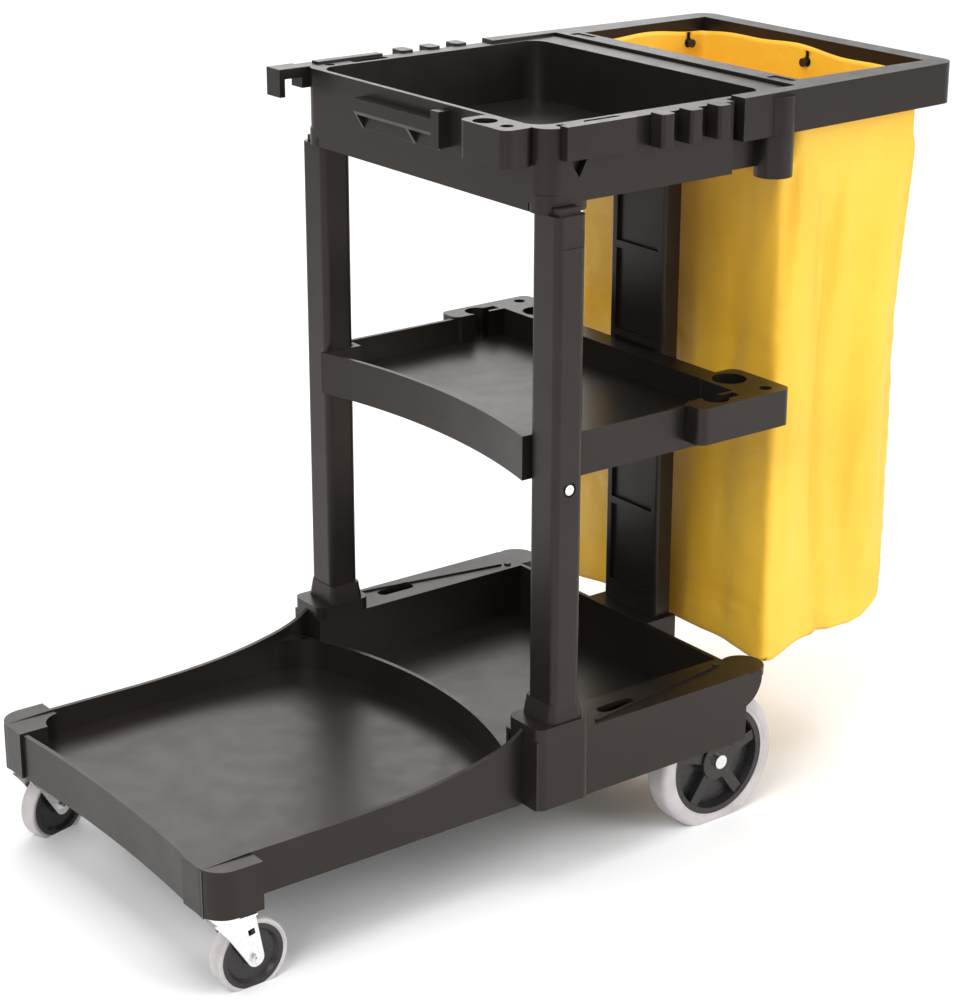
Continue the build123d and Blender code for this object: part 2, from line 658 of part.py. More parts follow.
# hem of the bag, a double band with the holes that hang on the studs
with BuildPart() as bag_hem:
    with BuildSketch(Plane.XY.offset(shoulder_z)):
        with Locations(((bag_out_front + bag_out_rear) / 2, 0)):
            RectangleRounded(bag_out_rear - bag_out_front, 2 * bag_neck_half, 14)
            RectangleRounded(
                bag_out_rear - bag_out_front - 2 * bag_wall, 2 * (bag_neck_half - bag_wall), 11,
                mode=Mode.SUBTRACT,
            )
    extrude(amount=bag_lip_z - shoulder_z)
    for x, y, turn in stud_places:
        with Locations(Location((x, y, stud_z), (0, 0, turn)) * Location((2.5, 0, 0))):
            Cylinder(3.4, 8, rotation=(0, 90, 0), mode=Mode.SUBTRACT)
save(bag_hem, "bag_hem")

# zip tape on the rear face of the bag, its slider and pull
with BuildPart() as zip_tape:
    block(bag_rear_x + 0.05, bag_rear_x + 1.6, -zip_half, zip_half, zip_bottom_z, zip_top_z)
    block(bag_rear_x + 1.5, bag_rear_x + 3.0, -3, 3, zip_bottom_z + 6, zip_top_z - 6)
    block(bag_rear_x + 1.5, bag_rear_x + 5.0, -5, 5, zip_bottom_z, zip_bottom_z + 6)
    block(bag_rear_x + 1.5, bag_rear_x + 5.0, -5, 5, zip_top_z - 6, zip_top_z)
save(zip_tape, "zip_tape")

with BuildPart() as zip_slider:
    x0 = bag_rear_x + 1.6 + slider_gap
    block(x0, x0 + 5.0, -6, 6, slider_z, slider_z + 14)
    block(x0 - 1, x0 + 1.4 + slider_gap, -3 - slider_gap, 3 + slider_gap, slider_z - 1, slider_z + 15, Mode.SUBTRACT)
    block(x0 + 4, x0 + 7, -2, 2, slider_z + 4, slider_z + 10)
save(zip_slider, "zip_slider")

with BuildPart() as zip_pull:
    x0 = bag_rear_x + 1.6 + slider_gap + 7.1
    block(x0, x0 + 1.8, -4, 4, slider_z - 26, slider_z + 10)
    with Locations((x0 + 0.9, 0, slider_z - 20)):
        Cylinder(2, 4, rotation=(0, 90, 0), mode=Mode.SUBTRACT)
save(zip_pull, "zip_pull")

# ---------------------------------------------------------------- rear wheels
hub_face = wheel_width / 2 - 3
with BuildPart() as rear_axle:
    cross_rod(wheel_x, wheel_radius, -wheel_y - wheel_width - 3, wheel_y + wheel_width + 3, axle_radius)
save(rear_axle, "rear_axle")

for side, s in sides:
    mid = s * (wheel_y + wheel_width / 2)
    with BuildPart() as tyre:
        with BuildSketch(Plane.XY) as tyre_section:
            with Locations(((wheel_radius + rim_radius) / 2, 0)):
                RectangleRounded(wheel_radius - rim_radius, wheel_width, 8)
            with Locations((rim_radius + 4, 0)):
                Rectangle(8, wheel_width - 2)
        revolve(axis=Axis.Y)
    tyre.part = tyre.part.moved(Location((wheel_x, mid, wheel_radius)))
    save(tyre, "rear_tyre_" + side)
    with BuildPart() as hub:
        with BuildSketch(Plane.XY):
            with BuildLine():
                Polyline(
                    (bush_radius + 0.05, -hub_face - 2), (26, -hub_face - 2), (28, -4), (rim_radius - 12, -4),
                    (rim_radius - 8, -hub_face - 1), (rim_radius - 0.1, -hub_face - 1), (rim_radius - 0.1, hub_face + 1),
                    (rim_radius - 8, hub_face + 1), (rim_radius - 12, 4), (28, 4), (26, hub_face + 2),
                    (bush_radius + 0.05, hub_face + 2), close=True,
                )
            make_face()
        revolve(axis=Axis.Y)
        # five raised spokes, outside and inside
        with BuildSketch(Plane.XZ.offset(-hub_face + 1)):
            with PolarLocations((bush_radius + rim_radius) / 2, 5, 18):
                Rectangle(rim_radius - bush_radius - 14, 15)
        extrude(amount=2 * hub_face - 2)
        with BuildSketch(Plane.XZ.offset(-wheel_width)):
            Circle(bush_radius + 0.05)
        extrude(amount=2 * wheel_width, mode=Mode.SUBTRACT)
    hub.part = hub.part.moved(Location((wheel_x, mid, wheel_radius)))
    save(hub, "rear_hub_" + side)
    with BuildPart() as bush:
        cross_rod(wheel_x, wheel_radius, mid - wheel_width / 2, mid + wheel_width / 2, bush_radius)
        cross_rod(wheel_x, wheel_radius, mid - wheel_width, mid + wheel_width, axle_radius + run_gap, Mode.SUBTRACT)
    save(bush, "rear_bushing_" + side)

with BuildPart() as caps:
    for side, s in sides:
        end = s * (wheel_y + wheel_width)
        cross_rod(wheel_x, wheel_radius, end + s * 0.4, end + s * 4.5, 9.5)
        cross_rod(wheel_x, wheel_radius, end + s * 0.2, end + s * 3.05, axle_radius + 0.03, Mode.SUBTRACT)
save(caps, "axle_caps")

with BuildPart() as washers:
    for side, s in sides:
        cross_rod(wheel_x, wheel_radius, s * (well_y + 2.2), s * (wheel_y - 0.3), 10)
        cross_rod(wheel_x, wheel_radius, s * (well_y + 1), s * wheel_y, axle_radius + 0.03, Mode.SUBTRACT)
save(washers, "axle_washers")

# ---------------------------------------------------------------- swivel casters
for side, s in sides:
    turn = right_caster_turn if s > 0 else 0.0
    place = Location((kingpin_x, s * kingpin_y, 0), (0, 0, turn))
    with BuildPart() as mount:
        rod(0, 0, fork_top_z + 5.2, pad_bottom_z - 0.2, 23)
        rod(0, 0, fork_top_z - 6, pad_bottom_z + 24, 6)
        rod(0, 0, fork_top_z - 8, fork_top_z - 3.2, 9)
    mount.part = mount.part.moved(place)
    save(mount, "caster_mount_" + side)
    with BuildPart() as fork:
        rod(0, 0, fork_top_z, fork_top_z + 5, 20)
        block(-18, caster_trail + 4, -fork_inner - fork_plate, fork_inner + fork_plate, fork_top_z - fork_plate, fork_top_z)
        for way in (-1, 1):
            with BuildSketch(Plane.XZ.offset(-way * fork_inner - (fork_plate if way > 0 else 0))):
                with BuildLine():
                    Polyline(
                        (-24, fork_top_z), (caster_trail + 1, fork_top_z), (caster_trail + 11, caster_radius + 2),
                        (caster_trail + 11, caster_radius),
                    )
                    CenterArc((caster_trail, caster_radius), 11, 0, -150)
                    end_angle = math.radians(-150)
                    Polyline(
                        (caster_trail + 11 * math.cos(end_angle), caster_radius + 11 * math.sin(end_angle)),
                        (-6, 84), (-24, fork_top_z),
                    )
                make_face()
                with Locations((caster_trail - 5, 84)):
                    Rectangle(9, 8, rotation=12, mode=Mode.SUBTRACT)
            extrude(amount=fork_plate)
        rod(0, 0, fork_top_z - 12, fork_top_z + 6, 6 + run_gap, Mode.SUBTRACT)
        cross_rod(caster_trail, caster_radius, -30, 30, caster_axle + 0.03, Mode.SUBTRACT)
    fork.part = fork.part.moved(place)
    save(fork, "caster_fork_" + side)
    with BuildPart() as pin:
        cross_rod(caster_trail, caster_radius, -fork_inner - fork_plate - 6, fork_inner + fork_plate + 6, caster_axle)
        cross_rod(caster_trail, caster_radius, -fork_inner - fork_plate - 4.2, -fork_inner - fork_plate - 0.2, 7)
        cross_rod(caster_trail, caster_radius, fork_inner + fork_plate + 0.2, fork_inner + fork_plate + 5, 7)
    pin.part = pin.part.moved(place)
    save(pin, "caster_axle_" + side)
    with BuildPart() as core:
        with BuildSketch(Plane.XY):
            with BuildLine():
                Polyline(
                    (caster_axle + run_gap, -fork_inner + 1), (10, -fork_inner + 1), (13, -6), (caster_core - 10, -6),
                    (caster_core - 6, -caster_width / 2 + 1), (caster_core - 0.1, -caster_width / 2 + 1),
                    (caster_core - 0.1, caster_width / 2 - 1), (caster_core - 6, caster_width / 2 - 1),
                    (caster_core - 10, 6), (13, 6), (10, fork_inner - 1), (caster_axle + run_gap, fork_inner - 1),
                    close=True,
                )
            make_face()
        revolve(axis=Axis.Y)
    core.part = core.part.moved(place * Location((caster_trail, 0, caster_radius)))
    save(core, "caster_core_" + side)
    with BuildPart() as ring:
        with BuildSketch(Plane.XY):
            with Locations(((caster_radius + caster_core) / 2, 0)):
                RectangleRounded(caster_radius - caster_core, caster_width, 2.8)
            with Locations((caster_core + 1.2, 0)):
                Rectangle(2.4, caster_width - 2)
        revolve(axis=Axis.Y)
    ring.part = ring.part.moved(place * Location((caster_trail, 0, caster_radius)))
    save(ring, "caster_tyre_" + side)

# ---------------------------------------------------------------- fasteners
with BuildPart() as shelf_bolts:
    for side, s in sides:
        x = upright_x + upright_depth / 2
        cross_rod(x, 536, s * (upright_y - 2.9), s * (upright_y + 0.5), bolt_head)
        cross_rod(x, 536, s * (upright_y - 9), s * (upright_y - 2.9), 3.9)
save(shelf_bolts, "shelf_bolts")

with BuildPart() as rivets:
    for side, s in sides:
        rod(heel_x - 30, s * (heel_y - 18), ledge_z + 0.05, ledge_z + 2.5, 5)
save(rivets, "ledge_rivets")
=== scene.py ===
import math

import bmesh
import bpy
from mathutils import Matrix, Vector, noise


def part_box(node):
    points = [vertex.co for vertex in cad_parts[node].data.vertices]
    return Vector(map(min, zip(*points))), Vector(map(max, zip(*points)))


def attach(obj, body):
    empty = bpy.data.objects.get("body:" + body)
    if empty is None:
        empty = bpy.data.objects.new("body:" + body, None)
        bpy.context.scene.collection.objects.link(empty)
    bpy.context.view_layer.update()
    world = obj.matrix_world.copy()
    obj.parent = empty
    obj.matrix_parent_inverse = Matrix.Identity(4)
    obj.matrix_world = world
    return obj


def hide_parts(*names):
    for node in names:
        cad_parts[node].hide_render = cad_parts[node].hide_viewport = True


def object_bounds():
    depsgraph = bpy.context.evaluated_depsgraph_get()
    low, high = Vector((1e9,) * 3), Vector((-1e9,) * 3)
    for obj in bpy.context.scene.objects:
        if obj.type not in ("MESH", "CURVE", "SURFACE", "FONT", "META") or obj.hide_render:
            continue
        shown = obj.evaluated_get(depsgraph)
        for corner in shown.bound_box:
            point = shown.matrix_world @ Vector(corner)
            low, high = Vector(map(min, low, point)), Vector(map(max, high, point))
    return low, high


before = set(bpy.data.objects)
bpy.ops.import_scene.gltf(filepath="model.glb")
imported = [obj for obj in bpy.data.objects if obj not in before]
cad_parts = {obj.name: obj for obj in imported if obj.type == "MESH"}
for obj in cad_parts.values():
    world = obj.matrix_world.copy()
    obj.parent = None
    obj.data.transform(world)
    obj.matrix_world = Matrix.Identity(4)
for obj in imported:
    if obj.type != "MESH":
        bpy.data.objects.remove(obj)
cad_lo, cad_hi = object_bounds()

MM = 0.001

# the bag's mesh and its folds
RING_POINTS = 160
RING_ROWS = 120
FLOOR_RINGS = 14
CORNER_RADIUS = 13 * MM
HEEL = 70 * MM              # the large round of the rear lower edge
GUSSET_X = 417 * MM         # where the side gussets crease
SEAM_Z = 255 * MM           # sewn seam low on the walls
# y of each long fold, its half width and its depth, in mm
FRONT_FOLDS = ((-120, 22, 5.0), (-20, 34, 3.5), (95, 26, 5.0))
REAR_FOLDS = ((-125, 24, 4.0), (-52, 18, 2.5), (58, 20, 3.0), (140, 26, 4.0))

# the cloth and its hanging
CLOTH_THICKNESS = 1.2 * MM
CLOTH_FRAMES = 14
CLOTH_CAP = 9 * MM          # how far the simulation may move a point
CLOTH_MARGIN = 1.5 * MM     # how far it stays inside the CAD bag's box

# keyhole eyelets, in mm
EYELET_RADIUS = 7.0
SLOT_HALF, SLOT_TOP = 3.2, 15.0
EYELET_REACH = 17 * MM
FRONT_EYELET_Y = 130 * MM
SIDE_EYELET_X = 522 * MM

# the camera
CAMERA_PLACE = (-1.8616, -2.4696, 1.5636)
CAMERA_YAW = 36.71
CAMERA_PITCH = 20.20
SENSOR_WIDTH = 36.0
FOCAL_SHARE = 2521.0 / 963.0    # focal length over the frame's width
CAMERA_SHIFT = (0.01225, 0.0022)


# ------------------------------------------------------------------ materials
def new_material(name):
    mat = bpy.data.materials.new(name)
    mat.use_nodes = True
    nt = mat.node_tree
    return mat, nt, nt.nodes["Principled BSDF"]


def node(nt, kind, **values):
    n = nt.nodes.new(kind)
    for key, value in values.items():
        if key in n.inputs:
            n.inputs[key].default_value = value
        else:
            setattr(n, key, value)
    return n


def set_inputs(bsdf, values):
    for socket, value in values.items():
        bsdf.inputs[socket].default_value = value


def add_object(name, data):
    obj = bpy.data.objects.new(name, data)
    bpy.context.scene.collection.objects.link(obj)
    return obj


def shade_smooth(mesh):
    for polygon in mesh.polygons:
        polygon.use_smooth = True


def object_coords(nt):
    return node(nt, "ShaderNodeTexCoord").outputs["Object"]


def bump_from(nt, height, strength, distance):
    b = node(nt, "ShaderNodeBump")
    b.inputs["Strength"].default_value = strength
    b.inputs["Distance"].default_value = distance
    nt.links.new(height, b.inputs["Height"])
    return b


def ramp(nt, source, stops):
    r = node(nt, "ShaderNodeValToRGB")
    elements = r.color_ramp.elements
    while len(elements) < len(stops):
        elements.new(0.5)
    for element, (place, colour) in zip(elements, stops):
        element.position = place
        element.color = (*colour, 1.0)
    nt.links.new(source, r.inputs["Fac"])
    return r.outputs["Color"]


def grey_ramp(nt, source, *stops):
    return ramp(nt, source, [(place, (value,) * 3) for place, value in stops])


def noise_out(nt, coords, scale, detail=2.0, rough=0.5):
    n = node(nt, "ShaderNodeTexNoise", Scale=scale, Detail=detail, Roughness=rough)
    nt.links.new(coords, n.inputs["Vector"])
    return n.outputs["Fac"]


def moulded_plastic(name, dark, light, rough_lo, rough_hi, grain=0.12, coat=0.0):
    """Structural-foam plastic: fine leathery grain, faint swirl in the colour, uneven gloss."""
    mat, nt, bsdf = new_material(name)
    co = object_coords(nt)
    swirl = noise_out(nt, co, 7.0, 4.0, 0.6)
    nt.links.new(ramp(nt, swirl, [(0.3, dark), (0.7, light)]), bsdf.inputs["Base Color"])
    gloss = noise_out(nt, co, 26.0, 3.0, 0.6)
    uneven = grey_ramp(nt, gloss, (0.35, rough_lo), (0.65, rough_hi))
    nt.links.new(uneven, bsdf.inputs["Roughness"])
    fine = noise_out(nt, co, 900.0, 2.0, 0.5)
    bump = bump_from(nt, fine, grain, 0.0004)
    wave = noise_out(nt, co, 9.0, 2.0, 0.5)
    broad = bump_from(nt, wave, 0.05, 0.0015)
    nt.links.new(broad.outputs["Normal"], bump.inputs["Normal"])
    nt.links.new(bump.outputs["Normal"], bsdf.inputs["Normal"])
    set_inputs(bsdf, {
        "Specular IOR Level": 0.34, "Specular Tint": (1.0, 0.87, 0.82, 1.0),
        "Coat Weight": coat, "Coat Roughness": 0.25,
    })
    return mat


def rubber_tread(name):
    """Light grey non-marking rubber, scuffed and slightly cloudy."""
    mat, nt, bsdf = new_material(name)
    co = object_coords(nt)
    cloud = noise_out(nt, co, 30.0, 4.0, 0.6)
    tone = ramp(nt, cloud, [(0.3, (0.40, 0.37, 0.37)), (0.7, (0.56, 0.53, 0.53))])
    nt.links.new(tone, bsdf.inputs["Base Color"])
    scuff = noise_out(nt, co, 240.0, 3.0, 0.6)
    nt.links.new(grey_ramp(nt, scuff, (0.3, 0.34), (0.7, 0.52)), bsdf.inputs["Roughness"])
    bump = bump_from(nt, scuff, 0.15, 0.0006)
    nt.links.new(bump.outputs["Normal"], bsdf.inputs["Normal"])
    set_inputs(bsdf, {"Subsurface Weight": 0.12, "Subsurface Scale": 0.004})
    return mat


def plated(name, tint, rough_lo, rough_hi, streak=180.0):
    """Bright metal with a faint spangle and an uneven polish."""
    mat, nt, bsdf = new_material(name)
    co = object_coords(nt)
    cells = node(nt, "ShaderNodeTexVoronoi", Scale=streak)
    nt.links.new(co, cells.inputs["Vector"])
    darker = tuple(c * 0.86 for c in tint)
    tone = ramp(nt, cells.outputs["Distance"], [(0.2, darker), (0.8, tint)])
    nt.links.new(tone, bsdf.inputs["Base Color"])
    rub = noise_out(nt, co, 420.0, 2.0, 0.5)
    nt.links.new(grey_ramp(nt, rub, (0.3, rough_lo), (0.7, rough_hi)), bsdf.inputs["Roughness"])
    bump = bump_from(nt, rub, 0.06, 0.0003)
    nt.links.new(bump.outputs["Normal"], bsdf.inputs["Normal"])
    set_inputs(bsdf, {"Metallic": 1.0})
    return mat


def coated_cloth(name):
    """Yellow vinyl-coated cloth: fine weave under the coat, soft mottling, broad creases."""
    mat, nt, bsdf = new_material(name)
    co = object_coords(nt)
    mottle = noise_out(nt, co, 5.0, 4.0, 0.55)
    yellows = [(0.30, (0.88, 0.48, 0.024)), (0.55, (0.93, 0.53, 0.035)), (0.8, (0.96, 0.59, 0.055))]
    nt.links.new(ramp(nt, mottle, yellows), bsdf.inputs["Base Color"])
    gloss = noise_out(nt, co, 18.0, 3.0, 0.6)
    nt.links.new(grey_ramp(nt, gloss, (0.3, 0.38), (0.7, 0.55)), bsdf.inputs["Roughness"])
    threads = []
    for direction in "XYZ":
        w = node(nt, "ShaderNodeTexWave", wave_type="BANDS", bands_direction=direction, Scale=420.0)
        w.inputs["Distortion"].default_value = 0.4
        nt.links.new(co, w.inputs["Vector"])
        threads.append(w.outputs["Fac"])
    height = threads[0]
    for thread in threads[1:]:
        total = node(nt, "ShaderNodeMath", operation="ADD")
        nt.links.new(height, total.inputs[0])
        nt.links.new(thread, total.inputs[1])
        height = total.outputs[0]
    weave = bump_from(nt, height, 0.10, 0.0003)
    crease = noise_out(nt, co, 15.0, 5.0, 0.60)
    broad = bump_from(nt, crease, 0.34, 0.008)
    nt.links.new(broad.outputs["Normal"], weave.inputs["Normal"])
    nt.links.new(weave.outputs["Normal"], bsdf.inputs["Normal"])
    set_inputs(bsdf, {
        "Sheen Weight": 0.08, "Subsurface Weight": 0.15,
        "Subsurface Scale": 0.006, "Subsurface Radius": (1.0, 0.5, 0.1),
    })
    return mat


DARK, LIGHT = (0.0085, 0.0068, 0.0056), (0.0125, 0.0100, 0.0084)
black = moulded_plastic("moulded_black", DARK, LIGHT, 0.30, 0.36)
posts = moulded_plastic(
    "post_black", (0.0095, 0.0076, 0.0070), (0.0135, 0.0110, 0.0100), 0.30, 0.37)
hub_black = moulded_plastic(
    "hub_black", (0.012, 0.012, 0.013), (0.022, 0.022, 0.023), 0.22, 0.34, grain=0.05, coat=0.2)
stud_black = moulded_plastic(
    "stud_black", (0.015, 0.014, 0.013), (0.026, 0.024, 0.022), 0.30, 0.42, grain=0.05)
grey_rubber = rubber_tread("grey_rubber")
zinc = plated("bright_zinc", (0.86, 0.87, 0.88), 0.20, 0.34)
steel = plated("polished_steel", (0.82, 0.82, 0.83), 0.12, 0.22, 320.0)
cloth = coated_cloth("yellow_coated_cloth")
tape_cloth = coated_cloth("zip_tape_cloth")

LOOKS = {
    "base_platform": black, "middle_shelf": black, "top_tray": black, "bag_frame": black,
    "front_upright_left": posts, "front_upright_right": posts, "rear_post": posts,
    "bag_studs": stud_black, "ledge_rivets": stud_black,
    "bag": cloth, "bag_hem": cloth, "zip_tape": tape_cloth,
    "rear_axle": zinc, "axle_caps": steel, "axle_washers": zinc, "shelf_bolts": steel,
    "zip_slider": steel, "zip_pull": steel,
}
for side in ("left", "right"):
    LOOKS["rear_hub_" + side] = hub_black
    LOOKS["rear_tyre_" + side] = grey_rubber
    LOOKS["rear_bushing_" + side] = zinc
    LOOKS["caster_mount_" + side] = zinc
    LOOKS["caster_fork_" + side] = zinc
    LOOKS["caster_axle_" + side] = steel
    LOOKS["caster_core_" + side] = hub_black
    LOOKS["caster_tyre_" + side] = grey_rubber

# how far the moulded pieces' edges are rounded, in mm; the rest keep theirs sharp
BEVELS = {
    "base_platform": 2.2, "middle_shelf": 1.8, "top_tray": 2.2, "bag_frame": 3.5, "rear_post": 1.8,
    "front_upright_left": 2.0, "front_upright_right": 2.0,
}
for name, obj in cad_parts.items():
    obj.data.materials.clear()
    obj.data.materials.append(LOOKS[name])
    shade_smooth(obj.data)
    if name in BEVELS:
        soften = obj.modifiers.new("edge", "BEVEL")
        soften.width = BEVELS[name] * MM
        soften.segments = 2
        soften.limit_method = "ANGLE"
        soften.angle_limit = math.radians(40)
        soften.harden_normals = True
    else:
        sharp = obj.modifiers.new("edge", "EDGE_SPLIT")
        sharp.split_angle = math.radians(35)


# ------------------------------------------------------------------ the bag
bag_lo, bag_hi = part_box("bag")
bar_lo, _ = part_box("bag_frame")
stud_lo, stud_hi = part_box("bag_studs")
shoulder_z = bar_lo.z - 1.5 * MM
hem_lo, hem_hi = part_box("bag_hem")
neck_front = hem_lo.x + 0.5 * MM
neck_rear = hem_hi.x - 0.5 * MM
neck_half = hem_hi.y - 0.5 * MM
rim_z = hem_hi.z


def smooth(a, b, x):
    t = min(max((x - a) / (b - a), 0.0), 1.0)
    return t * t * (3 - 2 * t)


def section(z):
    """Front x, rear x and half width of the bag at a height."""
    up = (z - bag_lo.z) / (shoulder_z - bag_lo.z)
    into_neck = smooth(shoulder_z - 26 * MM, shoulder_z - 2 * MM, z)
    front = bag_lo.x + 3 * MM + 3 * MM * math.sin(math.pi * min(up, 1.0))
    rear = bag_hi.x - 0.8 * MM
    half = bag_hi.y - 4 * MM - 7 * MM * math.sin(math.pi * min(up, 1.0))
    # the rear lower edge is a large round, the front one a tight fold
    if z < bag_lo.z + HEEL:
        rise = 1 - (z - bag_lo.z) / HEEL
        rear -= HEEL * (1 - math.sqrt(max(1 - rise * rise, 0.0)))
    front += (neck_front - front) * into_neck
    rear += (neck_rear - rear) * into_neck
    half += (neck_half - half) * into_neck
    return front, rear, half


def around(z, t):
    """A point and its normal on the ring at height z. t goes from 0 to 1, starting and ending at
    the middle of the rear face."""
    front, rear, half = section(z)
    long, wide = rear - front, 2 * half
    r = min(CORNER_RADIUS, long / 2.2)
    corner = math.pi / 2 * r
    runs = [half - r, corner, long - 2 * r, corner, wide - 2 * r,
            corner, long - 2 * r, corner, half - r]
    s = t * sum(runs)
    for k, run in enumerate(runs):
        if s <= run or k == len(runs) - 1:
            break
        s -= run
    f = s / r
    if k == 0:
        return Vector((rear, s, z)), Vector((1, 0, 0))
    if k == 1:
        c, n = Vector((rear - r, half - r, z)), Vector((math.cos(f), math.sin(f), 0))
    elif k == 2:
        return Vector((rear - r - s, half, z)), Vector((0, 1, 0))
    elif k == 3:
        c, n = Vector((front + r, half - r, z)), Vector((-math.sin(f), math.cos(f), 0))
    elif k == 4:
        return Vector((front, half - r - s, z)), Vector((-1, 0, 0))
    elif k == 5:
        c, n = Vector((front + r, -half + r, z)), Vector((-math.cos(f), -math.sin(f), 0))
    elif k == 6:
        return Vector((front + r + s, -half, z)), Vector((0, -1, 0))
    elif k == 7:
        c, n = Vector((rear - r, -half + r, z)), Vector((math.sin(f), -math.cos(f), 0))
    else:
        return Vector((rear, -half + r + s, z)), Vector((1, 0, 0))
    return c + n * r, n


def groove(x, centre, width):
    return math.exp(-(((x - centre) / width) ** 2))


def long_folds(y, z, folds, sway, bend):
    """Depth of the long folds of a front or rear face, which sway with height."""
    return [
        deep * MM * groove(y, y0 * MM + sway * math.sin(z * bend + y0), wide * MM)
        for y0, wide, deep in folds
    ]


def pushed(p, n):
    """Folds: the side gusset creases, long soft drapes, and small dents between them."""
    z = p.z
    below = 1 - smooth(shoulder_z - 120 * MM, shoulder_z - 10 * MM, z)
    free = below * (0.35 + 0.65 * smooth(bag_lo.z, bag_lo.z + 60 * MM, z))
    depth = 0.0
    if abs(n.y) > 0.7:
        crease_x = GUSSET_X + 10 * MM * math.sin(z * 9.0) * below
        depth += 7.5 * MM * groove(p.x, crease_x, 9 * MM) * below
        depth += 5.0 * MM * groove(p.x, crease_x + 62 * MM, 26 * MM) * free
        depth -= 2.0 * MM * groove(p.x, crease_x - 48 * MM, 30 * MM) * free
    if n.x < -0.7:
        for fold in long_folds(p.y, z, FRONT_FOLDS, 14 * MM, 6.0):
            depth += fold * free
    if n.x > 0.7:
        for fold in long_folds(p.y, z, REAR_FOLDS, 10 * MM, 7.0):
            depth += fold * free
    # broad swells, then crumpled ridges, then fine wrinkles across the cloth
    q = Vector((p.x * 9, p.y * 9, z * 3.6))
    depth += 5.0 * MM * (noise.noise(q) + 0.35) * free
    q = Vector((p.x * 24 + 7, p.y * 24, z * 9))
    ridge = 1 - abs(noise.noise(q)) * 2.2
    depth += 2.4 * MM * ridge * ridge * free * 0.6
    q = Vector((p.x * 15 - 3, p.y * 15, z * 34))
    depth += 1.3 * MM * (1 - abs(noise.noise(q)) * 2.0) * free
    if n.x < -0.5 or abs(n.y) > 0.7:
        depth += 1.6 * MM * groove(z, SEAM_Z, 2.6 * MM)
    if n.x > 0.7:
        # the zip tape is sewn flat; the cloth falls away on both sides of it
        aside = smooth(14 * MM, 60 * MM, abs(p.y))
        depth = depth * aside + 5 * MM * aside * free
    return p - n * max(depth, 0.0)


def rim_height(p, n):
    """The top edge sags between the studs."""
    along = p.y if abs(n.x) > 0.5 else p.x
    wave = 3.5 * MM * math.sin(along * 17.0 + 0.8)
    wave += 1.6 * MM * math.sin(along * 43.0 + 1.0)
    return rim_z - 2 * MM + wave


def lower_edge(p):
    """The front lower corners hang as points and the floor of the bag lifts between them."""
    _, _, half = section(p.z)
    near_front = 1 - smooth(0.0, 90 * MM, p.x - bag_lo.x)
    near_side = smooth(0.55, 1.0, abs(p.y) / half)
    return 16 * MM * (1 - near_front * (0.45 + 0.55 * near_side))


def bridge(bm, low, high):
    """A band of faces between two rings of RING_POINTS points."""
    for i in range(RING_POINTS):
        k = (i + 1) % RING_POINTS
        bm.faces.new((low[i], low[k], high[k], high[i]))


def build_bag():
    """The bag's walls as rings from the floor to the rim, and its floor as rings that close up."""
    bm = bmesh.new()
    rows = []
    for j in range(RING_ROWS + 1):
        f = j / RING_ROWS
        z0 = bag_lo.z + (rim_z - bag_lo.z) * f
        row = []
        for i in range(RING_POINTS):
            p, n = around(max(z0, bag_lo.z + 0.6 * MM), i / RING_POINTS)
            top = rim_height(p, n)
            squeeze = smooth(shoulder_z, rim_z, z0)
            q = pushed(p, n)
            q.z = z0 + (top - rim_z) * squeeze
            lift = 1 - smooth(0.0, 75 * MM, z0 - bag_lo.z)
            q.z += lower_edge(p) * lift
            row.append(bm.verts.new(q))
        rows.append(row)
    for a, b in zip(rows, rows[1:]):
        bridge(bm, a, b)
    # floor of the bag: rings that close towards a seam along the middle
    previous = rows[0]
    centre = Vector(((bag_lo.x + bag_hi.x) / 2 - 20 * MM, 0, bag_lo.z + 14 * MM))
    for r in range(1, FLOOR_RINGS):
        share = r / FLOOR_RINGS
        ring = []
        for v in rows[0]:
            q = v.co.lerp(Vector((centre.x, v.co.y * 0.35, centre.z)), share)
            dents = 3 * MM * noise.noise(Vector((q.x * 22, q.y * 22, 1.0)))
            q.z += dents - 2 * MM * math.sin(math.pi * share)
            q.z = max(q.z, bag_lo.z + 0.5 * MM)
            ring.append(bm.verts.new(q))
        bridge(bm, ring, previous)
        previous = ring
    bm.faces.new(previous)
    bmesh.ops.triangulate(bm, faces=[f for f in bm.faces if len(f.verts) > 4])
    bmesh.ops.recalc_face_normals(bm, faces=bm.faces)
    mesh = bpy.data.meshes.new("bag_cloth")
    bm.to_mesh(mesh)
    bm.free()
    return add_object("bag_cloth", mesh)


